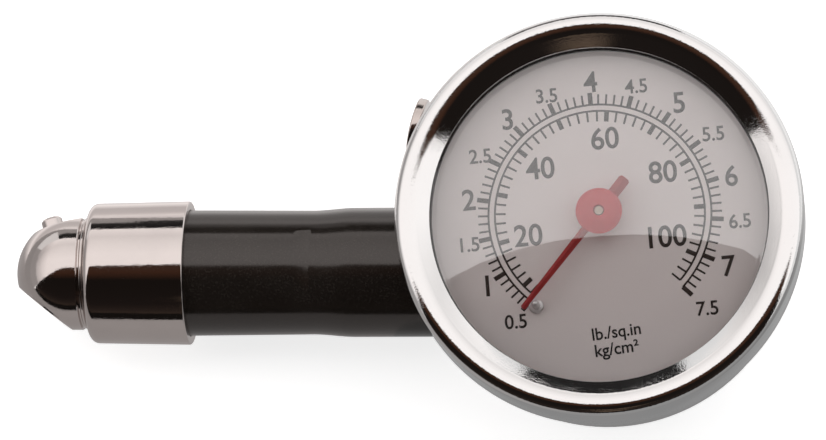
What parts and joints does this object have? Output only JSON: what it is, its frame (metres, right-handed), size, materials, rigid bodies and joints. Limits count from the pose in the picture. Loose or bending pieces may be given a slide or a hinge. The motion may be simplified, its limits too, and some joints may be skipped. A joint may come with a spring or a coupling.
{
  "type": "tyre pressure gauge",
  "caption": "Pocket dial gauge with a chromed bezel, domed lens, red needle, dark grip, angled ball chuck and a push button that releases the reading.",
  "frame": {"origin": "centre of the flat back face of the case, on which the gauge lies", "axes": "+Z is the dial's normal, -X points along the grip to the chuck, +Y is the picture's up"},
  "size_m": [0.1089, 0.055, 0.0302],
  "materials": {
    "case_metal": "bright nickel plate",
    "bezel_chrome": "polished chrome plate",
    "lens_glass": "clear, domed",
    "gasket_rubber": "matt",
    "dial_paint": "satin grey with printed scales",
    "pin_metal": "satin",
    "screw_steel": "zinc plated",
    "block_brass": "machined",
    "plate_brass": "stamped",
    "spring_bronze": "bright",
    "tube_bronze": "drawn phosphor bronze",
    "arbor_steel": "ground",
    "spring_steel": "drawn wire",
    "pointer_paint": "red, satin",
    "grip_plastic": "dark grey brown, glossy",
    "collar_chrome": "bright nickel chrome plate",
    "button_chrome": "bright plate",
    "seal_rubber": "soft black"
  },
  "bodies": {
    "case": {"back_plate": "plate_brass", "back_screws": "screw_steel", "bezel_ring": "bezel_chrome", "bleed_nib": "collar_chrome", "case_cup": "case_metal", "check_seat": "seal_rubber", "check_spring": "spring_steel", "chuck_head": "collar_chrome", "collar": "collar_chrome", "depressor_pin": "block_brass", "dial_plate": "dial_paint", "front_bush": "block_brass", "front_plate": "plate_brass", "grip_sleeve": "grip_plastic", "hairspring": "spring_bronze", "hairspring_stud": "plate_brass", "head_washer": "seal_rubber", "lens": "lens_glass", "lens_gasket": "gasket_rubber", "movement_pillars": "plate_brass", "movement_screws": "screw_steel", "plate_screws": "screw_steel", "release_bush": "collar_chrome", "release_spring": "spring_steel", "socket_block": "block_brass", "stem_tube": "block_brass", "valve_seal": "seal_rubber", "zero_stop_pin": "pin_metal"},
    "bourdon": {"bourdon_tube": "tube_bronze", "tip_cap": "block_brass", "tip_pivot_pin": "arbor_steel"},
    "link": {"tip_link": "plate_brass"},
    "sector": {"sector_gear": "plate_brass", "sector_arbor": "arbor_steel", "link_pivot_pin": "arbor_steel"},
    "needle": {"pinion_arbor": "plate_brass", "hairspring_collet": "plate_brass", "pointer_bush": "plate_brass", "pointer": "pointer_paint", "pointer_hub": "pointer_paint"},
    "button": {"release_button": "button_chrome", "release_stem": "block_brass", "release_seal": "seal_rubber"},
    "check_valve": {"check_poppet": "block_brass"}
  },
  "joints": [
    {"name": "sector_turn", "type": "hinge", "parent": "case", "child": "sector", "pos_m": [-0.0016, 0.0128, 0.0188], "axis": [0, 0, 1], "range_deg": [0, 30.4], "stiffness_Nm_per_rad": 0.01},
    {"name": "pointer_turn", "type": "hinge", "parent": "case", "child": "needle", "pos_m": [0, 0.0004, 0.0188], "axis": [0, 0, 1], "range_deg": [-273.7, 0]},
    {"name": "tube_flex", "type": "hinge", "parent": "case", "child": "bourdon", "pos_m": [-0.01699, -0.01234, 0.0101], "axis": [0, 0, 1], "range_deg": [0, 3.58]},
    {"name": "link_swing", "type": "hinge", "parent": "bourdon", "child": "link", "pos_m": [-0.00831, 0.0185, 0.01955], "axis": [0, 0, 1], "range_deg": [-2.46, 0]},
    {"name": "release_press", "type": "slide", "parent": "case", "child": "button", "axis": [0.9694, -0.2453, 0], "range_m": [0, 0.0016], "stiffness_N_per_m": 300, "deforming": ["release_spring"]},
    {"name": "check_lift", "type": "slide", "parent": "case", "child": "check_valve", "axis": [1, 0, 0], "range_m": [0, 0.001], "stiffness_N_per_m": 100, "deforming": ["check_spring"]}
  ],
  "couplings": [
    {"joint": "pointer_turn", "follows": "sector_turn", "ratio": -9},
    {"joint": "tube_flex", "follows": "sector_turn", "ratio": 0.11739},
    {"joint": "link_swing", "follows": "sector_turn", "ratio": -0.080432}
  ]
}
